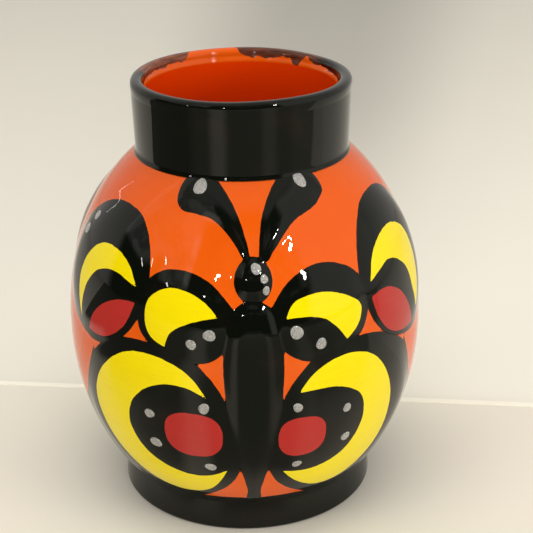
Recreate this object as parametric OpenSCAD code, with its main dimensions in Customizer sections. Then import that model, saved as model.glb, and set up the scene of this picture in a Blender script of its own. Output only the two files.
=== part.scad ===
// Glazed earthenware vase: an egg-shaped body on a foot, a straight collar with a
// rounded lip, and a low relief butterfly on the front and again on the back.
// Millimetres. +Z up, the foot stands on z = 0, the front butterfly faces -Y.

/* [Body] */
// Widest outside radius of the body
belly_r = 82.3; // [78:0.1:86]
// Height of the widest place
belly_z = 84; // [80:0.5:88]
// Half height of the curve below the widest place
lower_h = 101; // [99:0.5:104]
// Half height of the curve above the widest place
upper_h = 100; // [98:0.5:103]
// Fullness of the shoulder, 2 is an ellipse
shoulder_n = 2.15; // [2:0.05:2.4]
// Thickness of the clay wall
wall = 6; // [5:0.25:7]

/* [Foot and floor] */
// Height of the foot, up to the seam with the body
foot_h = 14; // [12:0.5:16]
// Outside radius of the foot where it stands
foot_r = 60; // [58:0.5:62]
// Outside radius of the foot at its top
foot_top_r = 59; // [58:0.25:59.25]
// Inside radius of the foot under the floor
foot_bore_r = 50; // [48:0.5:51]
// Radius of the floor disc
floor_r = 54; // [53:0.25:54.5]
// Height of the floor's underside
floor_z = 10; // [9:0.5:11]
// Thickness of the floor
floor_t = 8; // [7:0.5:9]

/* [Collar and lip] */
// Height of the seam between body and collar
neck_z = 166; // [164:0.5:168]
// Outside radius of the collar at the seam
neck_r = 48.3; // [47.5:0.1:49]
// Outside radius of the collar at the lip
mouth_r = 49.6; // [49.2:0.1:50.5]
// Inside radius of the collar
bore_r = 42.5; // [42:0.1:43]
// Height of the seam under the lip
lip_z = 194; // [192:0.5:195]
// Total height of the vase
vase_h = 200; // [198:0.5:202]
// Height of the lapped seam inside the collar
lap_h = 4; // [3:0.25:5]
// Thickness of the lapped seam inside the collar
lap_t = 2.5; // [2:0.25:3]

/* [Butterfly relief] */
// How far the wing lobes stand out
wing_proud = 1.6; // [1.2:0.1:2]
// How far the abdomen stands out
abdomen_proud = 2.2; // [1.8:0.1:2.6]
// How far the head stands out
head_proud = 2.4; // [2:0.1:3]
// How far the feelers stand out
feeler_proud = 1; // [0.8:0.1:1.4]

/* [Hidden] */
$fn = 180;
profile_steps = 40;
edge = 1;                  // chamfer on the foot's edges
lens_depth = 38;           // radial half axis of the wing lobes
abdomen_depth = 14;
head_depth = 11;
feeler_depth = 10;
lip_round = (mouth_r - bore_r - 1.1) / 2;
plate_h = 60;              // reach of the cutting plates past the body
plate_r = 120;

// Which piece to draw

// ---- outside and inside curves of the body ----
function half_h(z) = z > belly_z ? upper_h : lower_h;
function power(z) = z > belly_z ? shoulder_n : 2;
function curve_r(z, r, h, n) = r * sqrt(1 - pow(abs(z - belly_z) / h, n));
function body_r(z) = curve_r(z, belly_r, half_h(z), power(z));
function inner_r(z) =
  max(bore_r, curve_r(z, belly_r - wall, half_h(z) - wall, power(z)));
function step_z(i, a, b) = a + (b - a) * i / profile_steps;

// Angle of the outward normal above the horizon
function rise(z) = atan((body_r(z - 1) - body_r(z + 1)) / 2);
// Radii of curvature of the body, round the girth and up the side
function girth_r(z) = body_r(z) / cos(rise(z));
function side_r(z) = pow(half_h(z), 2) / belly_r * pow(cos(rise(z)), 0.5);
function sag(half, r) = r - sqrt(r * r - half * half);
// Half axis of an ellipsoid that has sunk by `drop` at the distance `half`
function half_axis(half, drop, depth) = half / sqrt(1 - pow(1 - drop / depth, 2));

// ---- clay pieces ----
// The body as a solid, with a wide plate under the relief and another over it,
// so that what is left of a relief form is only what stands out of the body.
module body_blank() {
  low_z = step_z(1, foot_h, neck_z);
  rotate_extrude()
    polygon(concat(
      [[0, -plate_h], [plate_r, -plate_h], [plate_r, low_z]],
      [for (i = [1:profile_steps])
        [body_r(step_z(i, foot_h, neck_z)), step_z(i, foot_h, neck_z)]],
      [[plate_r, neck_z], [plate_r, neck_z + plate_h], [0, neck_z + plate_h]]));
}

module body_wall() {
  floor_top = floor_z + floor_t;
  color("#e8662f") rotate_extrude()
    polygon(concat(
      [for (i = [0:profile_steps])
        [body_r(step_z(i, foot_h, neck_z)), step_z(i, foot_h, neck_z)]],
      [[bore_r + lap_t, neck_z], [bore_r + lap_t, neck_z + lap_h], [bore_r, neck_z + lap_h]],
      [for (i = [profile_steps:-1:0])
        [inner_r(step_z(i, floor_top, neck_z)), step_z(i, floor_top, neck_z)]],
      [[floor_r, floor_top], [floor_r, foot_h]]));
}

module foot_ring() {
  color("#26231f") rotate_extrude()
    polygon([[foot_bore_r + edge, 0], [foot_r - edge, 0], [foot_r, edge],
      [foot_top_r, foot_h], [floor_r, foot_h], [floor_r, floor_z],
      [foot_bore_r, floor_z], [foot_bore_r, edge]]);
}

module floor_disc() {
  color("#cf6a3c") translate([0, 0, floor_z]) cylinder(r = floor_r, h = floor_t);
}

module neck_collar() {
  color("#1d1b19") difference() {
    translate([0, 0, neck_z]) cylinder(r1 = neck_r, r2 = mouth_r, h = lip_z - neck_z);
    translate([0, 0, neck_z - 1]) cylinder(r = bore_r, h = lip_z - neck_z + 2);
    translate([0, 0, neck_z - 1]) cylinder(r = bore_r + lap_t, h = lap_h + 1);
  }
}

module rim_lip() {
  mid_r = mouth_r - lip_round;
  color("#1d1b19") rotate_extrude() {
    translate([mid_r, vase_h - lip_round]) circle(lip_round);
    translate([mid_r - lip_round, lip_z])
      square([2 * lip_round, vase_h - lip_round - lip_z]);
  }
}

// ---- relief pieces ----
// An ellipsoid that stands `proud` of the body over half_w by half_h, at angle az
// round the vase and height z. The body is cut away from it afterwards.
module lens(az, z, half_w, half_h, proud, spin, depth) {
  a = half_axis(half_w, sag(half_w, girth_r(z)) + proud, depth);
  b = half_axis(half_h, sag(half_h, side_r(z)) + proud, depth);
  rotate([0, 0, az]) translate([0, -body_r(z), z]) rotate([-rise(z), 0, 0])
    rotate([0, spin, 0]) translate([0, depth - proud, 0])
      scale([a / depth, 1, b / depth]) sphere(depth);
}

module head_form() {
  lens(0, 130, 9, 9.5, head_proud, 0, head_depth);
}
module abdomen_form() {
  lens(0, 76, 12.5, 47, abdomen_proud, 0, abdomen_depth);
}
module inner_lobe_form(side) {
  lens(side * 21.5, 114.5, 24.5, 20, wing_proud, side * 12, lens_depth);
}
module upper_wing_form(side) {
  lens(side * 61, 121.5, 33.5, 31.5, wing_proud, 0, lens_depth);
}
module lower_wing_form(side) {
  lens(side * 35.5, 60, 41, 41, wing_proud, 0, lens_depth);
}
module feeler_form(side) {
  lens(side * 14, 153.5, 5.5, 17, feeler_proud, side * 42, feeler_depth);
}

module head() {
  color("#141210") difference() {
    head_form();
    body_blank();
  }
}
module abdomen() {
  color("#1a1815") difference() {
    abdomen_form();
    body_blank();
    head_form();
  }
}
module inner_lobe_right() {
  color("#f2d71d") difference() {
    inner_lobe_form(1);
    body_blank();
    head_form();
    abdomen_form();
  }
}
module upper_wing_right() {
  color("#b43a3a") difference() {
    upper_wing_form(1);
    body_blank();
    inner_lobe_form(1);
  }
}
module lower_wing_left() {
  color("#e6c81a") difference() {
    lower_wing_form(-1);
    body_blank();
    abdomen_form();
    inner_lobe_form(-1);
    upper_wing_form(-1);
  }
}
module feeler_right() {
  color("#2a2724") difference() {
    feeler_form(1);
    body_blank();
    head_form();
  }
}
module other_side() { mirror([1, 0, 0]) children(); }
module other_face() { rotate([0, 0, 180]) children(); }

foot_ring();
floor_disc();
body_wall();
neck_collar();
rim_lip();
head();  // front_head
abdomen();  // front_abdomen
other_side() feeler_right();  // front_feeler_left
feeler_right();  // front_feeler_right
other_side() upper_wing_right();  // front_upper_wing_left
upper_wing_right();  // front_upper_wing_right
other_side() inner_lobe_right();  // front_inner_lobe_left
inner_lobe_right();  // front_inner_lobe_right
lower_wing_left();  // front_lower_wing_left
other_side() lower_wing_left();  // front_lower_wing_right
other_face() head();  // back_head
other_face() abdomen();  // back_abdomen
other_face() other_side() feeler_right();  // back_feeler_left
other_face() feeler_right();  // back_feeler_right
other_face() other_side() upper_wing_right();  // back_upper_wing_left
other_face() upper_wing_right();  // back_upper_wing_right
other_face() other_side() inner_lobe_right();  // back_inner_lobe_left
other_face() inner_lobe_right();  // back_inner_lobe_right
other_face() lower_wing_left();  // back_lower_wing_left
other_face() other_side() lower_wing_left();  // back_lower_wing_right
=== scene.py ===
"""Looks of the glazed butterfly vase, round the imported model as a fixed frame.

Design sizes are millimetres, which MM turns into metres. A place on the body is an angle
round the vase and a height above the table. An outline on the butterfly counts its angle
in degrees outwards from the butterfly's middle, on the right and on the left alike. The
left side has outlines of its own, and they are turned over when they are made.
"""

import math

import bpy
import numpy as np
from mathutils import Matrix, Vector


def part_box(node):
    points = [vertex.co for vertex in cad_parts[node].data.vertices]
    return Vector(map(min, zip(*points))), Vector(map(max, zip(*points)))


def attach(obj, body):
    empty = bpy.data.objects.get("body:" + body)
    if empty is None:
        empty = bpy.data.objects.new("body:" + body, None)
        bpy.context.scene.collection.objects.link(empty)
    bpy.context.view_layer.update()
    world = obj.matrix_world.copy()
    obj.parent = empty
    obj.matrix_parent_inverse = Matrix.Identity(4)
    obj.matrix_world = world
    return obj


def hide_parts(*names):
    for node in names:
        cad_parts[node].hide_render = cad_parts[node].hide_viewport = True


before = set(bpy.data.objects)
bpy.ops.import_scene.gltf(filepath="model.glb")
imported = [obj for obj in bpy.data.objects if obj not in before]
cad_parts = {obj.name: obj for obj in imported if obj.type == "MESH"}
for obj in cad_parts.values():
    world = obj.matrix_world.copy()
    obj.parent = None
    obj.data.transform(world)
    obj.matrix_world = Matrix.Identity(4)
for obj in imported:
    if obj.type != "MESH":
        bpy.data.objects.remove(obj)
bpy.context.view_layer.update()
MM = 0.001


def node_box(node):
    low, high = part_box(node)
    return np.array(low) / MM, np.array(high) / MM


# ---- sizes, from the frame where it holds them ----
BELLY_R = node_box("body_wall")[1][0]
FOOT_TOP = node_box("body_wall")[0][2]
FLOOR_TOP = node_box("floor_disc")[1][2]
FLOOR_R = node_box("floor_disc")[1][0]
FOOT_R = node_box("foot_ring")[1][0]
NECK_Z = node_box("neck_collar")[0][2]
LIP_Z = node_box("rim_lip")[0][2]
TOP_Z = node_box("rim_lip")[1][2]
MOUTH_R = node_box("rim_lip")[1][0]
BELLY_Z, LOWER_H, UPPER_H, SHOULDER_N = 84.0, 101.0, 100.0, 2.15
WALL, BORE_R, NECK_R, FOOT_TOP_R, FOOT_BORE_R = 6.0, 42.5, 48.3, 59.0, 50.0
FOOT_BORE_TOP = 9.9  # where the foot's bore meets the floor
LIP_SLOPE = 1.1  # how far the lip widens from the bore up to its round top
LIP_ROUND = (MOUTH_R - BORE_R - LIP_SLOPE) / 2
INNER_EDGE = 14.0  # where the top of the lip ends, in mm along its profile
TUCK = 0.35  # how far the collar is drawn in under the lip
NECK_POOL = 0.7  # glaze pooled in the corner at the foot of the collar
FLOOR_POOL = 2.0  # radius of the glaze pooled round the floor inside
ARC = BELLY_R * math.pi / 180  # mm round the belly in one degree

CELL = 0.9  # side of the body's mesh cells, mm
TURNED = 540  # columns of the foot, the collar and the lip
SUNK = 0.45  # how far a relief piece reaches into the wall
BLEND = 0.8  # width of the soft fillet at the foot of the relief


# ---- the body's shape ----
def body_r(z):
    """Radius of the body's outside at a height, without its relief."""
    z = np.asarray(z, float)
    half = np.where(z > BELLY_Z, UPPER_H, LOWER_H)
    power = np.where(z > BELLY_Z, SHOULDER_N, 2.0)
    return BELLY_R * np.sqrt(1 - (np.abs(z - BELLY_Z) / half) ** power)


def inner_r(z):
    """Radius of the body's inside at a height."""
    z = np.asarray(z, float)
    half = np.where(z > BELLY_Z, UPPER_H, LOWER_H) - WALL
    power = np.where(z > BELLY_Z, SHOULDER_N, 2.0)
    curve = 1 - (np.abs(z - BELLY_Z) / half) ** power
    return np.maximum(BORE_R, (BELLY_R - WALL) * np.sqrt(np.maximum(curve, 0)))


def rise(z):
    """Angle of the body's outward normal above the horizon, in radians."""
    return np.arctan(body_r(z - 0.5) - body_r(z + 0.5))


def on_body(az, z, out=0.0):
    """Points over the body at angle az (radians) and height z, out along the normal."""
    lift = rise(z)
    r = body_r(z) + out * np.cos(lift)
    return np.stack([r * np.sin(az), -r * np.cos(az), z + out * np.sin(lift)], -1)


# ---- outlines ----
def outline(points, corners=(), steps=7):
    """A closed smooth line through (degrees, mm) points, sharp at the listed ones."""
    p = np.array(points, float) * (ARC, 1)
    n = len(p)
    span = np.roll(p, -1, 0) - p
    size = np.linalg.norm(span, axis=1)[:, None]
    slope = span / size
    before, size_before = np.roll(slope, 1, 0), np.roll(size, 1, 0)
    speed = (before * size + slope * size_before) / (size + size_before)
    t = (np.arange(steps) / steps)[:, None]
    made = []
    for i in range(n):
        j = (i + 1) % n
        out, into = speed[i], speed[j]
        if i in corners and j in corners:
            out = into = slope[i]
        elif i in corners:
            out = 1.5 * slope[i] - 0.5 * into
        elif j in corners:
            into = 1.5 * slope[i] - 0.5 * out
        made.append(
            p[i] * (2 * t**3 - 3 * t**2 + 1)
            + out * size[i] * (t**3 - 2 * t**2 + t)
            + p[j] * (3 * t**2 - 2 * t**3)
            + into * size[i] * (t**3 - t**2)
        )
    return np.concatenate(made)


def oval(az, z, half_w, half_h, power=2.0, steps=40):
    """A closed superellipse, half_w in mm round the belly."""
    t = np.linspace(0, 2 * math.pi, steps, endpoint=False)
    c, s = np.cos(t), np.sin(t)
    u = az * ARC + half_w * np.sign(c) * np.abs(c) ** (2 / power)
    v = z + half_h * np.sign(s) * np.abs(s) ** (2 / power)
    return np.stack([u, v], -1)


REACH = 14.0  # mm from an outline within which distances are worked out


def distance(u, v, loop):
    """Signed distance in mm to a closed line, positive inside, for points near it."""
    low, high = loop.min(0) - REACH, loop.max(0) + REACH
    near = (u > low[0]) & (u < high[0]) & (v > low[1]) & (v < high[1])
    out = np.full(u.shape, -REACH)
    pu, pv = u[near], v[near]
    a, b = loop, np.roll(loop, -1, 0)
    best = np.full(pu.shape, np.inf)
    inside = np.zeros(pu.shape, bool)
    for (au, av), (bu, bv) in zip(a, b):
        du, dv = bu - au, bv - av
        t = ((pu - au) * du + (pv - av) * dv) / (du * du + dv * dv + 1e-12)
        t = np.clip(t, 0, 1)
        best = np.minimum(best, (pu - au - t * du) ** 2 + (pv - av - t * dv) ** 2)
        crosses = (av > pv) != (bv > pv)
        if crosses.any():
            at = au + (pv - av) * du / (dv if dv else 1e-12)
            inside ^= crosses & (pu < at)
    out[near] = np.maximum(np.where(inside, 1, -1) * np.sqrt(best), -REACH)
    return out


# ---- the butterfly: relief ----
# Outlines of (degrees, mm) points. The left lobes differ a little from the right ones.
UPPER_WING = [(37.5, 122), (43, 143), (50, 150.5), (60, 153.5), (80, 148), (86, 138.5),
              (83, 108), (75, 96.5), (66, 90), (51.5, 93), (44, 99.5)]
UPPER_WING_LEFT = [(34.5, 124), (38.5, 143.5), (44.5, 150), (53, 152.5), (74, 147),
                   (81.5, 138.5), (81.5, 112), (65, 95.5), (56, 93), (42.5, 101)]
INNER_LOBE = [(6, 120), (10, 127.5), (22.5, 135), (30, 133.5), (36.5, 128.5), (39.5, 120),
              (36.5, 104), (24.5, 96), (17, 95), (7.5, 104)]
INNER_LOBE_LEFT = [(6, 120), (14, 130.5), (32.5, 131), (37, 124), (36, 106.5), (24.5, 97),
                   (11.5, 98), (8, 103), (6, 111)]
LOWER_WING = [(11, 85), (17, 95), (34, 101), (42, 99.5), (50, 94), (56, 88.5), (63, 70),
              (65, 58), (55, 30), (31, 18), (21.5, 19.5), (7.5, 33), (5, 40), (5, 55)]
LOWER_WING_LEFT = [(11.5, 86.5), (16.5, 95), (25, 100), (45, 100), (58, 86), (62, 75),
                   (65, 65), (66, 54), (56, 29.5), (31, 18), (21, 19.5), (7, 34), (5, 40),
                   (5, 55)]
ABDOMEN = [(0, 123.5), (6, 119.5), (8.5, 110), (9, 100), (8.5, 79), (7, 58), (5, 43),
           (3.5, 34), (2.5, 26), (2.5, 17), (0, 16)]
FEELER = [(2.5, 137.5), (5.5, 155.5), (31.5, 168.5), (36, 164), (36, 161), (32, 157.5),
          (15.5, 150), (8, 141.5), (5.5, 138)]
FEELER_LEFT = [(0, 137.5), (1, 144), (5.5, 156.5), (14.5, 166), (21, 170), (32.5, 163),
               (32, 159), (28.5, 155.5), (21.5, 154.5), (14.5, 153), (5.5, 144.5),
               (2, 138.5)]
HEAD = (0.5, 131, 9, 9.2)  # angle, height, half width and half height

# How far each piece stands out, and how far in from its edge it still rises
PROUD = {
    "upper_wing": (1.5, 13.0),
    "inner_lobe": (1.5, 12.0),
    "lower_wing": (1.5, 15.0),
    "abdomen": (2.0, 8.5),
    "head": (2.0, 8.0),
    "feeler": (0.8, 4.5),
}


def both_sides(points):
    """The whole outline of a piece whose right half is given from top to bottom."""
    return points + [(-a, z) for a, z in reversed(points) if a > 0]


def relief_pieces():
    """The relief pieces of one butterfly: their names, outlines, heights and widths."""
    made = []
    for name, right, left, corners in (  # corners are the points that stay sharp
        ("upper_wing", UPPER_WING, UPPER_WING_LEFT, ()),
        ("inner_lobe", INNER_LOBE, INNER_LOBE_LEFT, (0,)),
        ("lower_wing", LOWER_WING, LOWER_WING_LEFT, (1, 10, 12)),
        ("feeler", FEELER, FEELER_LEFT, (0,)),
    ):
        made.append((f"{name}_right", outline(right, corners), *PROUD[name]))
        made.append((f"{name}_left", outline(left, corners) * (-1, 1), *PROUD[name]))
    made.append(("abdomen", outline(both_sides(ABDOMEN)), *PROUD["abdomen"]))
    made.append(("head", oval(*HEAD), *PROUD["head"]))
    return made


PIECES = relief_pieces()


# ---- the butterfly: paint ----
# Each shape is its side (1 right, -1 left), its points and the points that stay sharp
YELLOW = [
    (-1, [(38.5, 123.5), (42.5, 131), (62, 133.5), (67, 126), (68.5, 118), (67, 110),
         (64, 100), (62.5, 116.5), (58.5, 123.5), (52, 127)], (0, 6)),
    (1, [(41.5, 121.5), (44.5, 130.5), (66, 137.5), (72, 132), (74, 123.5), (73, 114),
        (67, 97.5), (65, 108), (63.5, 117.5), (52.5, 127), (47, 125)], (0, 6)),
    (-1, [(10.5, 116.5), (15, 122.5), (28, 126), (33.5, 120.5), (32.5, 106), (27, 101.5),
         (25, 108.5), (20.5, 112.5)], (0, 5)),
    (1, [(10, 115), (12.5, 121), (18, 123.5), (31, 120), (36, 114), (34.5, 107.5),
        (29.5, 101.5), (22.5, 112.5)], (0, 6)),
    (-1, [(14, 80), (19, 90), (40.5, 95.5), (48, 88.5), (57, 66), (55.5, 51.5), (43, 29),
         (25, 23.5), (17, 26.5), (9, 41.5), (16, 37.5), (39, 49.5), (41.5, 61),
         (39.5, 71.5), (26.5, 85), (20, 84.5)], (0, 9)),
    (1, [(13.5, 81.5), (18, 89.5), (30.5, 95), (37, 92.5), (47.5, 73.5), (50, 58),
        (49.5, 46), (37, 26.5), (22, 26), (15, 31.5), (9.5, 39.5), (24, 40), (31, 45),
        (36.5, 63.5), (34.5, 73.5), (29, 79.5)], (0, 10)),
]
RED = [
    (-1, [(38.5, 117.5), (44, 117), (56, 106.5), (59, 97.5), (53, 97), (42, 106.5)], (0, 3)),
    (1, [(41, 115.5), (47.5, 117), (53.5, 114), (61.5, 98.5), (62.5, 93), (54.5, 93.5),
        (47.5, 98), (43, 106)], (0, 4)),
]
# Side, angle, height, half width and half height
RED_OVALS = [(-1, 19, 61, 13.3, 11.6), (1, 15, 59, 11, 10.5)]
RED_OVAL_POWER = 2.5  # above 2, so a little squarer than an ellipse
# Silver dots, in the same way
DOTS = [
    (-1, 71.5, 142.5, 2.4, 2.4), (-1, 74.5, 135.5, 2.4, 2.7), (-1, 13, 109, 2.6, 2.6),
    (-1, 18.5, 104.5, 2.3, 2.3), (1, 13, 109, 3.0, 2.9), (1, 20.5, 102.5, 2.6, 2.5),
    (-1, 15, 75.5, 2.4, 2.7), (-1, 33, 68.5, 2.5, 2.4), (-1, 32.5, 53, 2.9, 2.8),
    (-1, 14.5, 43.5, 2.6, 2.3), (1, 13, 74.5, 2.2, 2.2), (1, 29.5, 69, 2.2, 2.2),
    (1, 30.5, 53, 2.4, 2.3), (1, 14, 43.5, 2.2, 2.0), (-1, 22.5, 163.5, 2.8, 4.2),
    (1, 26, 164.5, 2.6, 4.2), (1, 1.5, 135.5, 2.2, 2.5), (1, 4, 131.5, 1.75, 1.9),
    (1, 4.5, 127, 1.6, 1.9),
]
FOOT_PAINT = 19.8  # height of the black of the foot, under the two butterflies
# Between them it rises to SKIRT_Z at the side of the vase, and from there by SKIRT_RISE
# in SKIRT_SPREAD degrees, as a cubic, as far as SKIRT_END degrees from a butterfly's
# middle. Past that it goes on as a low band to BAND_END.
SKIRT_Z, SKIRT_RISE, SKIRT_SPREAD, SKIRT_END = 47.3, 27, 28, 57
BAND_Z, BAND_END = 36, 42
TAIL_Z, TAIL_LENGTH, TAIL_SHARE = 25, 60, 0.4  # the abdomen thins to a share at its tip


def painted(shapes):
    """The outlines of painted shapes, each on its own side."""
    return [outline(points, corners) * (side, 1) for side, points, corners in shapes]


YELLOW_LOOPS = painted(YELLOW)
RED_LOOPS = painted(RED) + [
    oval(a, z, w, h, RED_OVAL_POWER) * (side, 1) for side, a, z, w, h in RED_OVALS
]


def crown(d, proud, width):
    """Height of a pillow d mm in from its edge. Past the edge it goes on falling."""
    t = np.clip(d / width, 0, 1)
    return np.where(d > 0, proud * (1 - (1 - t) ** 2), 2 * proud * d / width)


def soft_max(a, b, width):
    """The larger of two, rounded over where they are within width of each other."""
    return np.maximum(a, b) + np.maximum(width - np.abs(a - b), 0) ** 2 / (4 * width)


def on_face(az):
    """Angles in radians from the middle of the nearer butterfly."""
    return az - math.pi * np.round(az / math.pi)


def piece_heights(az, z):
    """Height of every relief piece over the body, one row per piece, and distances."""
    u = np.degrees(on_face(az)) * ARC
    gaps = [distance(u, z, loop) for _, loop, _, _ in PIECES]
    heights = np.array([crown(d, p, w) for d, (_, _, p, w) in zip(gaps, PIECES)])
    abdomen = [name for name, _, _, _ in PIECES].index("abdomen")
    up = np.clip((z - TAIL_Z) / TAIL_LENGTH, 0, 1)
    heights[abdomen] *= TAIL_SHARE + (1 - TAIL_SHARE) * up
    return heights, np.array(gaps)


def relief(heights):
    """The height of all the pieces together, with a soft fillet where they meet."""
    total = np.zeros(heights.shape[1:])
    for h in heights:
        total = soft_max(total, h, BLEND)
    return total


def paint(az, z, gaps):
    """Distances in mm into the black, yellow and red paint."""
    u = np.degrees(on_face(az)) * ARC
    side = np.abs(np.degrees(on_face(az)))
    skirt = SKIRT_Z + SKIRT_RISE * ((90 - side) / SKIRT_SPREAD) ** 3
    between = np.minimum(skirt - z, (side - SKIRT_END) * ARC)
    between = np.maximum(between, np.minimum(BAND_Z - z, (side - BAND_END) * ARC))
    black = np.maximum(np.maximum(gaps.max(0), FOOT_PAINT - z), between)
    yellow = np.max([distance(u, z, loop) for loop in YELLOW_LOOPS], 0)
    red = np.max([distance(u, z, loop) for loop in RED_LOOPS], 0)
    return np.stack([black, yellow, red], -1)


# ---- meshes ----
# A point's values: mm into each paint, its place round and along the form for the brush
# strokes, how worn the black is, and how far it is inside, where painted shade makes the
# orange darker and redder
PAINT_NAMES = (
    "paint_black", "paint_yellow", "paint_red", "around", "across", "thin", "inside_shade",
)


def add_mesh(name, points, faces, normals, values, material, nodes):
    """A piece from points in mm, faces, normals and its paint values per point."""
    mesh = bpy.data.meshes.new(name)
    mesh.from_pydata((np.asarray(points) * MM).tolist(), [], faces)
    mesh.polygons.foreach_set("use_smooth", [True] * len(mesh.polygons))
    values = np.asarray(values, np.float32)
    for i, title in enumerate(PAINT_NAMES[: values.shape[1]]):
        layer = mesh.attributes.new(title, "FLOAT", "POINT")
        layer.data.foreach_set("value", np.ascontiguousarray(values[:, i]))
    mesh.normals_split_custom_set_from_vertices(np.asarray(normals).tolist())
    mesh.materials.append(material)
    obj = bpy.data.objects.new(name, mesh)
    bpy.context.scene.collection.objects.link(obj)
    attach(obj, "root")
    if nodes:
        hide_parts(*nodes)


def clipped(rows, faces, level):
    """The part of a triangle mesh where level is over 0. rows holds a point's values."""
    inside = level[faces] > 0
    count = inside.sum(1)
    whole = faces[count == 3]

    def turned(picked, first):
        """Each triangle turned so that its odd corner out comes first."""
        order = (first[:, None] + np.arange(3)) % 3
        return np.take_along_axis(picked, order, 1)

    one = turned(faces[count == 1], inside[count == 1].argmax(1))
    two = turned(faces[count == 2], (~inside[count == 2]).argmax(1))
    pairs = np.concatenate([one[:, [0, 1]], one[:, [0, 2]], two[:, [0, 1]], two[:, [0, 2]]])
    keys, back = np.unique(np.sort(pairs, 1), axis=0, return_inverse=True)
    back = back.reshape(-1) + len(rows)
    a, b = level[keys[:, 0]], level[keys[:, 1]]
    t = (a / (a - b))[:, None]
    rows = np.concatenate([rows, rows[keys[:, 0]] * (1 - t) + rows[keys[:, 1]] * t])
    n, m = len(one), len(two)
    e1, e2 = back[:n], back[n : 2 * n]
    f1, f2 = back[2 * n : 2 * n + m], back[2 * n + m :]
    made = np.concatenate([
        whole,
        np.stack([one[:, 0], e1, e2], 1),
        np.stack([two[:, 1], two[:, 2], f2], 1),
        np.stack([two[:, 1], f2, f1], 1),
    ])
    used, made = np.unique(made, return_inverse=True)
    return rows[used], made.reshape(-1, 3)


def open_edges(faces):
    """Directed edges that only one triangle has."""
    edges = np.concatenate([faces[:, [0, 1]], faces[:, [1, 2]], faces[:, [2, 0]]])
    keys, first, count = np.unique(
        np.sort(edges, 1), axis=0, return_index=True, return_counts=True
    )
    return edges[first[count == 1]]


# The columns of a row of the body's grid: the point with its relief, its normal, the
# place sunk under the relief, the paint values, and the heights of the relief pieces
POINT, NORMAL, UNDER = slice(0, 3), slice(3, 6), slice(6, 9)
VALUES, HEIGHTS = slice(9, 14), slice(14, None)


def body_grid():
    """The body's outer face as rows and triangles, and how many columns are round it."""
    columns = int(2 * math.pi * BELLY_R / CELL / 4) * 4
    fine = np.linspace(FOOT_TOP, NECK_Z, 2000)
    length = np.concatenate([[0], np.cumsum(np.hypot(np.diff(fine), np.diff(body_r(fine))))])
    levels = np.interp(np.linspace(0, length[-1], int(length[-1] / CELL)), length, fine)
    az, z = np.meshgrid(
        np.arange(columns) * 2 * math.pi / columns - math.pi, levels, indexing="xy"
    )
    heights, gaps = piece_heights(az.ravel(), z.ravel())
    height = relief(heights)
    points = on_body(az.ravel(), z.ravel(), height).reshape(*az.shape, 3)
    along = np.roll(points, -1, 1) - np.roll(points, 1, 1)
    up = np.gradient(points, axis=0)
    normal = np.cross(along, up)
    normal /= np.linalg.norm(normal, axis=2, keepdims=True)
    sunk = on_body(az.ravel(), z.ravel(), -SUNK)
    values = paint(az.ravel(), z.ravel(), gaps)
    around = np.degrees(az.ravel()) * ARC
    rows = np.concatenate(
        [points.reshape(-1, 3), normal.reshape(-1, 3), sunk, values,
         around[:, None], z.ravel()[:, None], heights.T], 1
    )
    i, j = np.meshgrid(np.arange(len(levels) - 1), np.arange(columns), indexing="ij")
    k = (j + 1) % columns
    a, b = i * columns + j, i * columns + k
    c, d = b + columns, a + columns
    faces = np.concatenate([
        np.stack([a, b, c], -1).reshape(-1, 3), np.stack([a, c, d], -1).reshape(-1, 3)
    ])
    return rows, faces, columns


def walls(rows, faces, up, down):
    """Strips that close the open edges from the columns `up` down to `down`."""
    edges = open_edges(faces)
    a, b = edges[:, 0], edges[:, 1]
    points = np.concatenate([rows[b, up], rows[a, up], rows[a, down], rows[b, down]])
    n = len(edges)
    quads = np.arange(n)[:, None] + np.array([0, n, 2 * n, 3 * n])
    values = rows[np.concatenate([b, a, a, b]), VALUES]
    return points, quads, values


class Sheets:
    """Collects sheets of faces into one mesh."""

    def __init__(self):
        self.points, self.normals, self.values, self.faces = [], [], [], []
        self.count = 0

    def add(self, points, normals, values, faces):
        self.points.append(points)
        self.normals.append(normals)
        missing = len(PAINT_NAMES) - values.shape[1]
        self.values.append(np.pad(values, ((0, 0), (0, missing))))
        self.faces += (np.asarray(faces) + self.count).tolist()
        self.count += len(points)

    def finish(self, name, material, nodes):
        add_mesh(
            name, np.concatenate(self.points), self.faces,
            np.concatenate(self.normals), np.concatenate(self.values),
            material, nodes,
        )


def relief_mesh(name, rows, faces, level, material):
    """One relief piece as a closed solid: its glazed face, its back and its edge."""
    rows, faces = clipped(rows, faces, level)
    sheets = Sheets()
    values = rows[:, VALUES]
    sheets.add(rows[:, POINT], rows[:, NORMAL], values, faces)
    sheets.add(rows[:, UNDER], -rows[:, NORMAL], values, faces[:, ::-1])
    points, quads, values = walls(rows, faces, POINT, UNDER)
    sheets.add(points, np.zeros_like(points), values, quads)
    sheets.finish(name, material, [name])


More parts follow.
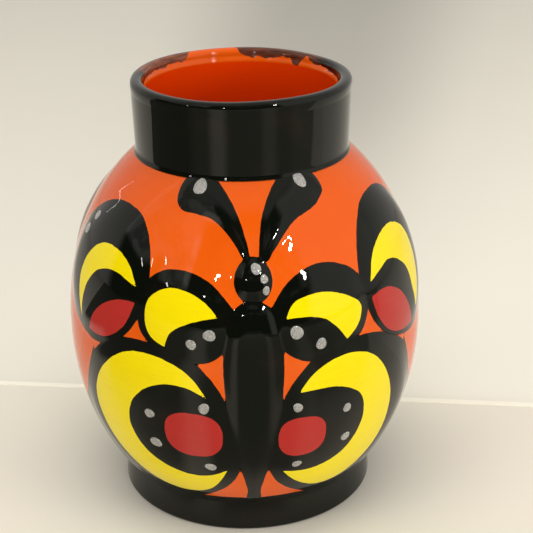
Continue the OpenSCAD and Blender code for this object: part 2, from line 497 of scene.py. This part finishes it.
def lathe(runs, columns, wave=None):
    """Points, normals, angles, positions along the profile and faces of a turned form.

    Each run is a smooth line of (radius, height); a new run starts at a sharp corner.
    A wave moves the radii and heights by angle.
    """
    az = np.linspace(0, 2 * math.pi, columns + 1) - math.pi
    sets = []
    for run in runs:
        run = np.array(run, float)
        step = np.gradient(run, axis=0)
        step /= np.linalg.norm(step, axis=1, keepdims=True)
        along = np.concatenate([[0], np.cumsum(np.hypot(*np.diff(run, axis=0).T))])
        r, z = run[:, 0][:, None], run[:, 1][:, None] + 0 * az
        if wave is not None:
            r, z = wave(r + 0 * az, z, az)
        nr, nz = step[:, 1][:, None], -step[:, 0][:, None] + 0 * az
        points = np.stack([r * np.sin(az), -r * np.cos(az), z], -1).reshape(-1, 3)
        normals = np.stack([nr * np.sin(az), -nr * np.cos(az), nz], -1).reshape(-1, 3)
        i, j = np.meshgrid(np.arange(len(run) - 1), np.arange(columns), indexing="ij")
        a = i * (columns + 1) + j
        faces = np.stack([a, a + 1, a + columns + 2, a + columns + 1], -1).reshape(-1, 4)
        angle = np.broadcast_to(az, (len(run), columns + 1)).ravel()
        sets.append((points, normals, angle, np.repeat(along, columns + 1), faces))
    return sets


def line(a, b, steps):
    """Points on a straight run of a profile."""
    return [tuple(p) for p in np.linspace(a, b, steps)]


def plain_values(angle, across, black):
    """Paint values of a form with no yellow or red."""
    away = np.full(angle.shape, -REACH)
    return np.stack([black, away, away, np.degrees(angle) * ARC, across], -1)


# ---- materials ----
class Tree:
    """A short way to write a node tree."""

    def __init__(self, tree):
        self.tree = tree

    def node(self, kind, props=None, **inputs):
        made = self.tree.nodes.new(kind)
        for key, value in (props or {}).items():
            setattr(made, key, value)
        for key, value in inputs.items():
            self.feed(made.inputs[key.replace("_", " ")], value)
        return made

    def feed(self, socket, value):
        if isinstance(value, bpy.types.NodeSocket):
            self.tree.links.new(value, socket)
        else:
            socket.default_value = value

    def math(self, operation, a, b=0.0, c=0.0):
        made = self.tree.nodes.new("ShaderNodeMath")
        made.operation = operation
        for socket, value in zip(made.inputs, (a, b, c)):
            self.feed(socket, value)
        return made.outputs[0]

    def mix(self, share, a, b):
        made = self.tree.nodes.new("ShaderNodeMix")
        made.data_type = "RGBA"
        self.feed(made.inputs[0], share)
        self.feed(made.inputs[6], a)
        self.feed(made.inputs[7], b)
        return made.outputs[2]

    def ramp(self, value, low, high, out_low=0.0, out_high=1.0):
        made = self.node("ShaderNodeMapRange", {"interpolation_type": "SMOOTHSTEP"},
                         Value=value)
        for key, amount in (("From Min", low), ("From Max", high),
                            ("To Min", out_low), ("To Max", out_high)):
            self.feed(made.inputs[key], amount)
        return made.outputs[0]

    def value(self, name):
        return self.node("ShaderNodeAttribute", {"attribute_name": name}).outputs["Fac"]

    def noise(self, vector, scale, detail=2.0, roughness=0.5):
        return self.node("ShaderNodeTexNoise", Vector=vector, Scale=scale,
                         Detail=detail, Roughness=roughness).outputs["Fac"]

    def brushed(self, along, over, detail, roughness=0.5):
        """Streaks that run round the form."""
        at = self.node("ShaderNodeCombineXYZ",
                       X=self.math("MULTIPLY", self.value("around"), along),
                       Y=self.math("MULTIPLY", self.value("across"), over))
        return self.noise(at.outputs[0], 1.0, detail, roughness)

    def bump(self, height, depth, **more):
        """A bump of the depth in mm."""
        return self.node("ShaderNodeBump", Height=height, Distance=depth * MM,
                         Strength=1.0, **more).outputs[0]

    def place(self):
        return self.node("ShaderNodeTexCoord").outputs["Object"]


def new_material(name, **settings):
    """A material, its node tree and its shader, with the shader's plain settings."""
    made = bpy.data.materials.new(name)
    made.use_nodes = True
    made.node_tree.nodes.clear()
    t = Tree(made.node_tree)
    out = t.node("ShaderNodeOutputMaterial")
    shader = t.node("ShaderNodeBsdfPrincipled", **settings)
    t.feed(out.inputs["Surface"], shader.outputs[0])
    return made, t, shader


ORANGE, ORANGE_DEEP = (0.72, 0.100, 0.004, 1), (0.68, 0.088, 0.003, 1)
# Painted shade: the orange inside the vase is darker and redder, for the dim, reddened light
# in its hollow.
ORANGE_SHADED_INSIDE = (0.78, 0.050, 0.0008, 1)
BLACK, BLACK_THIN = (0.0025, 0.0034, 0.002, 1), (0.008, 0.005, 0.003, 1)
BLACK_WORN = (0.26, 0.075, 0.04, 1)
YELLOW_PAINT, YELLOW_THIN = (0.84, 0.68, 0.002, 1), (0.82, 0.65, 0.002, 1)
RED_PAINT, RED_THIN = (0.42, 0.026, 0.020, 1), (0.40, 0.023, 0.018, 1)
SILVER_DARK, SILVER_PALE = (0.20, 0.195, 0.185, 1), (0.56, 0.55, 0.53, 1)
CLAY_DARK, CLAY_PALE = (0.50, 0.27, 0.15, 1), (0.66, 0.42, 0.26, 1)
EDGE = 0.09  # half width of a painted border, mm
WANDER, DRAWN_IN = 0.5, -0.28  # how far the borders wander, and how far in they lie, mm
# Noise scales per metre: the wandering of the borders, the clouds in the orange and the
# thinner spots in the black. Then scales, and depths in mm, of the glaze's waves, its
# orange peel, the silver's speckle and the clay's grain.
WOBBLE_SCALE, CLOUD_SCALE, THINNED_SCALE = 280.0, 22.0, 60.0
WAVE_SCALE, PEEL_SCALE, SPECKLE_SCALE, GRAIN_SCALE = 38.0, 420.0, 2600.0, 900.0
WAVE_DEPTH, PEEL_DEPTH, SPECKLE_DEPTH, GRAIN_DEPTH = 0.2, 0.01, 0.03, 0.05
STROKE, SCRAPE = (0.05, 0.9), (0.06, 1.3)  # brush marks, scales per mm along and over


def glaze(name):
    """The glossy painted glaze of the whole vase."""
    made, t, shader = new_material(
        name, Roughness=0.5, Specular_IOR_Level=0.0,
        Coat_Weight=1.0, Coat_Roughness=0.025, Coat_IOR=1.38,
    )
    spot = t.place()
    wobble = t.math("MULTIPLY_ADD", t.noise(spot, WOBBLE_SCALE), WANDER, DRAWN_IN)

    def cover(paint_name):
        return t.ramp(t.math("ADD", t.value(paint_name), wobble), -EDGE, EDGE)

    cloud = t.ramp(t.noise(spot, CLOUD_SCALE, 3.0), 0.35, 0.7)
    # Inside the vase the orange is mixed to a darker, redder one: painted shade of the hollow.
    colour = t.mix(t.value("inside_shade"), t.mix(cloud, ORANGE, ORANGE_DEEP), ORANGE_SHADED_INSIDE)
    stroke = t.ramp(t.brushed(*STROKE, 3.0), 0.35, 0.75)
    scraped = t.ramp(t.brushed(*SCRAPE, 4.0, 0.7), 0.25, 0.65)
    worn = t.math("MULTIPLY", t.value("thin"), scraped)
    thinned = t.ramp(t.noise(spot, THINNED_SCALE, 4.0), 0.55, 0.8)
    black = t.mix(thinned, BLACK, BLACK_THIN)
    for paint_name, paint_colour in (
        ("paint_black", t.mix(worn, black, BLACK_WORN)),
        ("paint_yellow", t.mix(stroke, YELLOW_PAINT, YELLOW_THIN)),
        ("paint_red", t.mix(stroke, RED_PAINT, RED_THIN)),
    ):
        colour = t.mix(cover(paint_name), colour, paint_colour)
    t.feed(shader.inputs["Base Color"], colour)
    waves = t.bump(t.noise(spot, WAVE_SCALE, 1.0), WAVE_DEPTH)
    peel = t.bump(t.noise(spot, PEEL_SCALE, 2.0), PEEL_DEPTH, Normal=waves)
    t.feed(shader.inputs["Normal"], peel)
    t.feed(shader.inputs["Coat Normal"], peel)
    return made


def silver_paint():
    """The speckled silver dots under the clear glaze."""
    made, t, shader = new_material(
        "silver_paint", Metallic=0.25, Roughness=0.4, Coat_Weight=0.8, Coat_Roughness=0.05,
    )
    speckle = t.ramp(t.noise(t.place(), SPECKLE_SCALE, 3.0, 0.7), 0.42, 0.6)
    t.feed(shader.inputs["Base Color"], t.mix(speckle, SILVER_DARK, SILVER_PALE))
    t.feed(shader.inputs["Normal"], t.bump(speckle, SPECKLE_DEPTH))
    return made


def floor_clay():
    """Clay beneath and the orange glaze on top, for the floor of the vase."""
    made, t, shader = new_material("floor_glaze_on_clay")
    spot = t.place()
    height = t.node("ShaderNodeSeparateXYZ", Vector=spot).outputs["Z"]
    top = t.ramp(height, (FLOOR_TOP - 0.7) * MM, (FLOOR_TOP - 0.5) * MM)
    grain = t.noise(spot, GRAIN_SCALE, 6.0, 0.7)
    clay = t.mix(t.ramp(grain, 0.3, 0.7), CLAY_DARK, CLAY_PALE)
    # The floor's glaze takes the darker, redder inside orange: painted shade of the hollow.
    t.feed(shader.inputs["Base Color"], t.mix(top, clay, ORANGE_SHADED_INSIDE))
    t.feed(shader.inputs["Roughness"], t.ramp(top, 0.0, 1.0, 0.85, 0.15))
    t.feed(shader.inputs["Normal"], t.bump(grain, GRAIN_DEPTH))
    return made


GLAZE = glaze("painted_glaze")
SILVER = silver_paint()
FLOOR = floor_clay()


# ---- the pieces ----
def build_body_and_relief():
    """The relief pieces, and the body with its outside open under them."""
    rows, faces, columns = body_grid()
    heights = rows[:, HEIGHTS].T
    highest = heights.max(0)
    back = rows[:, 1] > 0
    halves = faces[(~back)[faces].all(1)], faces[back[faces].all(1)]
    for i, (name, _, _, _) in enumerate(PIECES):
        others = np.maximum(np.delete(heights, i, 0).max(0), 0)
        for face_name, picked in zip(("front", "back"), halves):
            relief_mesh(f"{face_name}_{name}", rows, picked, heights[i] - others, GLAZE)
    sheets = Sheets()
    open_rows, open_faces = clipped(rows, faces, -highest)
    sheets.add(open_rows[:, POINT], open_rows[:, NORMAL], open_rows[:, VALUES], open_faces)
    under_rows, under_faces = clipped(rows, faces, highest)
    sunk = under_rows[:, UNDER] * 0.9995  # just clear of the backs of the relief
    sheets.add(sunk, under_rows[:, NORMAL], under_rows[:, VALUES], under_faces)
    pool_z = FLOOR_TOP + FLOOR_POOL
    rings = [
        [(NECK_R, NECK_Z), (BORE_R, NECK_Z)],
        [(float(inner_r(z)), z) for z in np.linspace(NECK_Z, pool_z, 60)]
        + [(float(inner_r(pool_z)) - FLOOR_POOL * (1 - math.cos(q)),
            FLOOR_TOP + FLOOR_POOL * (1 - math.sin(q)) + 0.05)
           for q in np.linspace(0, math.pi / 2, 7)[1:]],
        [(FLOOR_R, FOOT_TOP), (float(body_r(FOOT_TOP)), FOOT_TOP)],
    ]
    for points, normals, angle, across, quads in lathe(rings, columns):
        values = plain_values(angle, across, 0 * angle - REACH)
        # These faces get the full painted shade of the inside.
        values = np.column_stack([values, 0 * angle, 0 * angle + 1])
        sheets.add(points, normals, values, quads)
    sheets.finish("body_wall", GLAZE, ["body_wall"])


def build_dots():
    """The silver dots, each a low dome of paint on the relief."""
    rings, spokes, dome_height, rim_sunk = 6, 28, 0.30, 0.08
    for face_name, turn in (("front", 0.0), ("back", math.pi)):
        points, faces, normals = [], [], []
        for n, (side, a, z, w, h) in enumerate(DOTS):
            phase = np.linspace(0, 2 * math.pi, spokes, endpoint=False)
            edge = 1 + 0.06 * np.sin(2 * phase + n) + 0.04 * np.sin(3 * phase + 2 * n)
            share = np.concatenate([[0.001], np.sqrt(np.linspace(0, 1, rings + 1)[1:])])
            grow, spin = np.meshgrid(share, phase, indexing="ij")
            grow = grow * edge
            at_z = z + h * grow * np.sin(spin) * math.cos(rise(z))
            at_az = turn + side * math.radians(a) + w * grow * np.cos(spin) / body_r(z)
            heights, _ = piece_heights(at_az.ravel(), at_z.ravel())
            t = np.repeat(share, spokes)
            dome = dome_height * (1 - t**4) - rim_sunk * (t > 0.99)
            start = sum(len(p) for p in points)
            points.append(on_body(at_az.ravel(), at_z.ravel(), relief(heights) + dome))
            normals.append(np.zeros_like(points[-1]))
            i, j = np.meshgrid(np.arange(rings), np.arange(spokes), indexing="ij")
            k = (j + 1) % spokes
            faces.append(start + np.stack(
                [i * spokes + j, (i + 1) * spokes + j, (i + 1) * spokes + k, i * spokes + k],
                -1).reshape(-1, 4))
        points = np.concatenate(points)
        add_mesh(f"{face_name}_silver_dots", points, np.concatenate(faces).tolist(),
                 np.concatenate(normals), np.zeros((len(points), 0)), SILVER, [])


def build_foot():
    """The foot: a ring with rounded lower edges and sides that lean in a little."""
    edge, flat_end, top_r = 1.5, FOOT_R - 1.6, FOOT_TOP_R + 0.2
    profile = [
        line((FOOT_BORE_R, FOOT_BORE_TOP), (FOOT_BORE_R, 1), 6),
        [(FOOT_BORE_R, 1), (FOOT_BORE_R + 0.3, 0.3), (FOOT_BORE_R + 1, 0)],
        line((FOOT_BORE_R + 1, 0), (flat_end, 0), 10),
        [(flat_end + edge * math.sin(q), edge - edge * math.cos(q))
         for q in np.linspace(0, math.pi / 2, 9)]
        + line((FOOT_R - 0.15, 3), (top_r, FOOT_TOP), 14),
        line((top_r, FOOT_TOP), (FLOOR_R, FOOT_TOP), 3),
    ]
    sheets = Sheets()
    for points, normals, angle, across, faces in lathe(profile, TURNED):
        black = np.full(angle.shape, REACH)
        sheets.add(points, normals, plain_values(angle, points[:, 2], black), faces)
    sheets.finish("foot_ring", GLAZE, ["foot_ring"])


def build_collar():
    """The collar, which widens upwards. It is black outside and orange inside."""
    tall, top_r, fillet = LIP_Z - NECK_Z, MOUTH_R - TUCK, 1.3
    steps = np.concatenate([np.linspace(0, 4, 20), np.linspace(4, tall, 30)[1:]])
    profile = [
        [(NECK_R + NECK_POOL * math.exp(-((z / fillet) ** 2)) + (top_r - NECK_R) * z / tall,
          NECK_Z + z) for z in steps],
        line((top_r, LIP_Z), (BORE_R, LIP_Z), 3),
        line((BORE_R, LIP_Z), (BORE_R, NECK_Z), 12),
        line((BORE_R, NECK_Z), (NECK_R + NECK_POOL, NECK_Z), 3),
    ]
    sheets = Sheets()
    for i, (points, normals, angle, across, faces) in enumerate(lathe(profile, TURNED)):
        inside = i in (1, 2)
        black = np.full(angle.shape, -REACH if inside else REACH)
        values = plain_values(angle, points[:, 2], black)
        # Its inside faces get the painted shade of the hollow.
        values = np.column_stack([values, 0 * angle, 0 * angle + inside])
        sheets.add(points, normals, values, faces)
    sheets.finish("neck_collar", GLAZE, ["neck_collar"])


def lip_profile():
    """The lip from the collar's outside, over the top and down to its bore."""
    mid_r, mid_z = MOUTH_R - LIP_ROUND, TOP_Z - LIP_ROUND
    tall, square = mid_z - LIP_Z, 0.85  # square is 1 for a round top, less for a flatter one
    up = [(MOUTH_R - TUCK * (1 - q) ** 2, LIP_Z + tall * q)
          for q in np.linspace(0, 1, 8)[:-1]]
    over = [(mid_r + LIP_ROUND * np.sign(math.cos(q)) * abs(math.cos(q)) ** square,
             mid_z + LIP_ROUND * abs(math.sin(q)) ** square)
            for q in np.linspace(0, math.pi, 33)]
    down = [(mid_r - LIP_ROUND - LIP_SLOPE * (1 - math.cos(q)) / 2,
             mid_z - tall * q / math.pi)
            for q in np.linspace(0, math.pi, 9)[1:]]
    return up + over + down


# The black's border on the lip, in mm along the profile: ripples as (size, waves round
# the lip, phase), and runs and gaps as (size, degrees round the lip, half width, power)
RIPPLES = ((0.35, 11, 0.6), (0.35, 23, 1.9), (0.30, 47, 0), (0.2, 83, 0.5))
DRIPS = ((2.4, 141, 3.2, 4), (1.0, 161, 4, 4), (-3.0, 133, 2.6, 2))
GAP = (7.2, -165, 16, 8)
RAGGED_FROM, RAGGED_OVER, RAGGED_IN = 95, 30, 0.9  # degrees, degrees and mm
# The black thins from these degrees on, over the degrees of the fade, towards the back
THIN_LEFT, THIN_LEFT_FADE = -98, 8
THIN_RIGHT, THIN_RIGHT_FADE, THIN_RIGHT_SHARE = 118, 10, 0.55
THIN_FROM = 6.2  # and only past here, in mm along the profile


def lip_border(angle):
    """How far over the lip the black reaches, in mm along its profile."""
    turn = np.degrees(angle)

    def bump(size, at, half, power):
        return size * np.exp(-np.abs(((turn - at + 180) % 360 - 180) / half) ** power)

    back = np.clip((np.abs(turn) - RAGGED_FROM) / RAGGED_OVER, 0, 1)
    wander = sum(size * np.sin(waves * angle + phase) for size, waves, phase in RIPPLES)
    drips = sum(bump(*drip) for drip in DRIPS)
    return INNER_EDGE + (wander - RAGGED_IN + drips) * back - bump(*GAP)


def thin_glaze(angle, across):
    """How thin the black is at the back of the lip, where the orange shows through."""
    turn = np.degrees(angle)
    left = np.clip((THIN_LEFT - turn) / THIN_LEFT_FADE, 0, 1)
    right = THIN_RIGHT_SHARE * np.clip((turn - THIN_RIGHT) / THIN_RIGHT_FADE, 0, 1)
    return np.maximum(left, right) * np.clip(across - THIN_FROM, 0, 1)


def lip_wave(r, z, az):
    """The unevenness of the hand-made lip, which grows from its foot to its top."""
    share = np.clip((z - LIP_Z) / (TOP_Z - LIP_Z), 0, 1)
    outside = share * (1 - share) * (r > MOUTH_R - 3)
    r = r - outside * (0.5 + 0.3 * np.sin(7 * az) + 0.2 * np.sin(16 * az + 1))
    return r, z + share * (0.25 * np.sin(2 * az + 1) + 0.12 * np.sin(5 * az) - 0.3)


def build_lip():
    """The lip: black over the top, orange down to the bore, and a flat seat below."""
    top, seat = lathe(
        [lip_profile(), line((BORE_R, LIP_Z), (MOUTH_R - TUCK, LIP_Z), 3)],
        TURNED, wave=lip_wave,
    )
    sheets = Sheets()
    for (points, normals, angle, across, faces), is_top in ((top, True), (seat, False)):
        black = lip_border(angle) - across if is_top else 0 * angle
        thin = thin_glaze(angle, across) if is_top else 0 * angle
        # Down the bore the orange takes the painted shade of the hollow.
        inside_shade = np.clip((across - INNER_EDGE - 1.5) / 2.5, 0, 1)
        values = np.column_stack([plain_values(angle, across, black), thin, inside_shade])
        sheets.add(points, normals, values, faces)
    sheets.finish("rim_lip", GLAZE, ["rim_lip"])


build_body_and_relief()
build_dots()
build_foot()
build_collar()
build_lip()
for floor_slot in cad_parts["floor_disc"].material_slots:
    floor_slot.material = FLOOR


# ---- the camera, in front of the vase and above it ----
CAMERA_TURN = math.radians(-3.3)  # round the vase, from straight in front
CAMERA_SIDE, CAMERA_BACK, CAMERA_UP = 10.46, 595.0, 358.7  # from the foot's middle, mm
CAMERA_DOWN, CAMERA_ROLL = math.radians(22.99), math.radians(-0.63)
FOCAL, SENSOR = 92.7, 36.0  # mm
TO_CAMERA = Matrix.Rotation(CAMERA_TURN, 4, "Z")


def build_camera():
    camera = bpy.data.objects.new("camera", bpy.data.cameras.new("camera"))
    camera.data.lens = FOCAL
    camera.data.sensor_width = SENSOR
    camera.data.clip_start, camera.data.clip_end = 0.05, 20.0
    moved = Matrix.Translation(Vector((CAMERA_SIDE, -CAMERA_BACK, CAMERA_UP)) * MM)
    tilted = Matrix.Rotation(math.pi / 2 - CAMERA_DOWN, 4, "X")
    rolled = Matrix.Rotation(CAMERA_ROLL, 4, "Z")
    camera.matrix_world = TO_CAMERA @ moved @ tilted @ rolled
    bpy.context.scene.collection.objects.link(camera)
    bpy.context.scene.camera = camera


build_camera()


# ---- table, backdrop and light ----
def band(t, value, low, high, soft):
    """1 between low and high, falling to 0 over soft at each end."""
    into = t.ramp(value, low - soft, low + soft)
    out = t.ramp(value, high - soft, high + soft, 1.0, 0.0)
    return t.math("MULTIPLY", into, out)


def added(t, *terms):
    """The sum of (amount, share) terms, each the amount times all of its shares."""
    total = 0.0
    for amount, *shares in terms:
        for share in shares:
            amount = t.math("MULTIPLY", amount, share)
        total = t.math("ADD", total, amount)
    return total


def bearing(t, x, y):
    """Angle round the vase in degrees, 0 where the camera stands, more to its right."""
    turn = t.math("ARCTAN2", x, t.math("MULTIPLY", y, -1.0))
    turn = t.math("MULTIPLY", turn, 180 / math.pi)
    return t.math("ADD", turn, -math.degrees(CAMERA_TURN))


def stage_material(name, colour, shade):
    """A pale matt surface. shade(t, x, y) gives its brightness from the place in mm."""
    made, t, shader = new_material(name, Roughness=0.6, Specular_IOR_Level=0.2)
    spot = t.place()
    parts = t.node("ShaderNodeSeparateXYZ", Vector=spot)
    x = t.math("MULTIPLY", parts.outputs["X"], 1 / MM)
    y = t.math("MULTIPLY", parts.outputs["Y"], 1 / MM)
    mottle = t.ramp(t.noise(spot, 5.0, 3.0), 0.2, 0.8, 0.98, 1.0)
    amount = t.math("MULTIPLY", shade(t, x, y), mottle)
    scaled = t.node("ShaderNodeVectorMath", {"operation": "SCALE"}, Scale=amount)
    scaled.inputs[0].default_value = colour
    t.feed(shader.inputs["Base Color"], scaled.outputs[0])
    return made


def table_shade(t, x, y):
    """Even and pale, but dim in the glaze's reflections, like a room in front of the table."""
    across, along = t.math("MULTIPLY", x, x), t.math("MULTIPLY", y, y)
    away = t.math("SQRT", t.math("ADD", across, along))
    turn = bearing(t, x, y)
    front = t.math("MULTIPLY", t.ramp(away, 60.0, 95.0), t.ramp(y, -40.0, -80.0))
    far_left = t.math("MULTIPLY", t.ramp(away, 250.0, 330.0), band(t, turn, -119, -60, 4))
    place = t.math("MAXIMUM", front, far_left)
    near_sides = t.math("MULTIPLY", t.ramp(away, 150.0, 260.0, 1.0, 0.0),
                        t.ramp(t.math("ABSOLUTE", turn), 30.0, 55.0))
    dim = added(  # more and less in bands, by bearing
        t,
        (0.68, 1.0),
        (-0.66, band(t, turn, -21, -6, 5)),
        (-0.30, band(t, turn, 31, 45, 5)),
        (-0.10, band(t, turn, 62, 90, 6)),
        (0.18, band(t, turn, -112, -40, 8)),
        (-0.42, near_sides),
    )
    mirrored = t.node("ShaderNodeLightPath").outputs["Is Glossy Ray"]
    return added(t, (1.0, 1.0), (-1.0, mirrored, place, dim))


def backdrop_shade(t, x, y):
    """A painted soft shadow behind the neck of the vase, and painted light that makes the
    backdrop paler towards each side, more on the right.
    """
    side = t.math("DIVIDE", t.math("ADD", x, 12.0), t.math("ADD", y, CAMERA_BACK))
    shadow = band(t, side, -0.085, 0.065, 0.055)
    return added(
        t,
        (0.93, 1.0),
        (-0.30, t.math("MULTIPLY", shadow, t.ramp(y, 130.0, 700.0))),
        # Painted light: the backdrop is paler to the left, and more so to the right.
        (0.05, t.ramp(side, -0.05, -0.2)),
        (0.10, t.ramp(side, 0.04, 0.2)),
    )


def slab(name, low, high, material):
    """A flat box turned with the far edge of the table, as part of the stage."""
    x0, y0, z0 = low
    x1, y1, z1 = high
    plan = ((x0, y0), (x1, y0), (x1, y1), (x0, y1))
    corners = [(x * MM, y * MM, z * MM) for z in (z0, z1) for x, y in plan]
    faces = [(3, 2, 1, 0), (4, 5, 6, 7)] + [
        (i, (i + 1) % 4, (i + 1) % 4 + 4, i + 4) for i in range(4)
    ]
    mesh = bpy.data.meshes.new(name)
    mesh.from_pydata(corners, [], faces)
    mesh.materials.append(material)
    obj = bpy.data.objects.new(name, mesh)
    bpy.context.scene.collection.objects.link(obj)
    obj.rotation_euler = (0, 0, CAMERA_TURN + TABLE_TURN)


TABLE_BACK, TABLE_EDGE, STAGE_SIZE = 70.0, 4.0, 2500.0
TABLE_TURN = math.radians(-6.3)
# The strip along the table's back edge is paler than the table: a painted highlight, the light
# its edge catches.
TABLE_COLOUR, EDGE_HIGHLIGHT_COLOUR, BACKDROP_COLOUR = (
    (0.82, 0.785, 0.69), (0.98, 0.95, 0.84), (0.88, 0.85, 0.765))
slab("table", (-STAGE_SIZE, -STAGE_SIZE, -20), (STAGE_SIZE, TABLE_BACK, 0),
     stage_material("table_top", TABLE_COLOUR, table_shade))
# A painted highlight along the table's back edge.
slab("table_edge", (-STAGE_SIZE, TABLE_BACK, -20),
     (STAGE_SIZE, TABLE_BACK + TABLE_EDGE, 0.3),
     stage_material("table_edge", EDGE_HIGHLIGHT_COLOUR, lambda t, x, y: 1.0))
slab("backdrop", (-STAGE_SIZE, TABLE_BACK + TABLE_EDGE, -23), (STAGE_SIZE, STAGE_SIZE, -3),
     stage_material("backdrop", BACKDROP_COLOUR, backdrop_shade))


def panel(name, bearing_deg, height_deg, reach, size, power, turn=0.0, seen=True):
    """A soft rectangular light at a bearing and height from the middle of the vase.

    One that is seen shows only in the glaze, and one that isn't lights without showing.
    """
    light = bpy.data.lights.new(name, "AREA")
    light.shape = "RECTANGLE"
    light.size, light.size_y = size
    light.energy = power
    light.color = (1.0, 0.97, 0.92)
    obj = bpy.data.objects.new(name, light)
    a, e = math.radians(bearing_deg), math.radians(height_deg)
    way = Vector((math.sin(a) * math.cos(e), -math.cos(a) * math.cos(e), math.sin(e)))
    middle = Vector((0, 0, 0.1))
    facing = way.to_track_quat("Z", "Y").to_matrix().to_4x4()
    spun = Matrix.Rotation(math.radians(turn), 4, "Z")
    obj.matrix_world = TO_CAMERA @ Matrix.Translation(way * reach + middle) @ facing @ spun
    obj.visible_glossy, obj.visible_diffuse = seen, not seen
    bpy.context.scene.collection.objects.link(obj)


panel("overhead", -12, 72, 1.6, (1.5, 1.5), 16.4, seen=False)
panel("front_fill", 8, 12, 1.8, (1.4, 0.6), 11.6, seen=False)
panel("left_fill", -62, 12, 1.8, (0.7, 0.6), 3.8, seen=False)
panel("right_fill", 62, 12, 1.8, (0.7, 0.6), 7.5, seen=False)
panel("lamp_a", 36.8, 34.4, 1.3, (0.04, 0.09), 2.4, turn=-40)
panel("lamp_a_pane", 39.3, 38.4, 1.3, (0.03, 0.035), 0.6, turn=-40)
panel("lamp_b", -16.5, 24, 1.3, (0.045, 0.03), 0.6)
panel("lamp_c", -55, 23, 1.3, (0.02, 0.12), 0.25, turn=40)
panel("lamp_d", -126, 19, 1.3, (0.008, 0.30), 0.045, turn=-22)


def build_room():
    """The room as the glaze mirrors it. Seen directly, it is plain and pale."""
    world = bpy.data.worlds.new("room")
    world.use_nodes = True
    world.node_tree.nodes.clear()
    bpy.context.scene.world = world
    t = Tree(world.node_tree)
    way = t.node("ShaderNodeTexCoord").outputs["Generated"]
    parts = t.node("ShaderNodeSeparateXYZ", Vector=way)
    turn = bearing(t, parts.outputs["X"], parts.outputs["Y"])
    height = t.math("MULTIPLY", t.math("ARCSINE", parts.outputs["Z"]), 180 / math.pi)
    blotch = t.ramp(t.noise(way, 5.0, 3.0), 0.42, 0.58)

    def wall(left, right, low, high, soft):
        return t.math("MULTIPLY", band(t, turn, left, right, soft),
                      band(t, height, low, high, 3))

    left_wall = wall(-98, -36, 24, 61, 2)
    glow = added(
        t,
        (0.03, 1.0),
        (0.50, t.ramp(height, 56, 66)),  # the ceiling
        (0.34, left_wall),
        (0.36, left_wall, blotch),
        (0.80, wall(-41, -35, 29, 41, 2)),  # a window
        (0.74, wall(42, 96, -3, 61, 4)),  # the right wall
        (0.62, t.ramp(t.math("ABSOLUTE", turn), 92, 100), band(t, height, -90, 61, 3)),
        (0.30, wall(-12, 40, 24, 50, 4), blotch),
    )
    direct = t.node("ShaderNodeLightPath").outputs["Is Camera Ray"]
    plain = t.math("MULTIPLY", direct, t.math("SUBTRACT", 0.72, glow))
    sky = t.node("ShaderNodeBackground", Color=(1.0, 0.965, 0.90, 1),
                 Strength=t.math("ADD", glow, plain))
    t.feed(t.node("ShaderNodeOutputWorld").inputs["Surface"], sky.outputs[0])


build_room()
bpy.context.scene.view_settings.view_transform = "Standard"
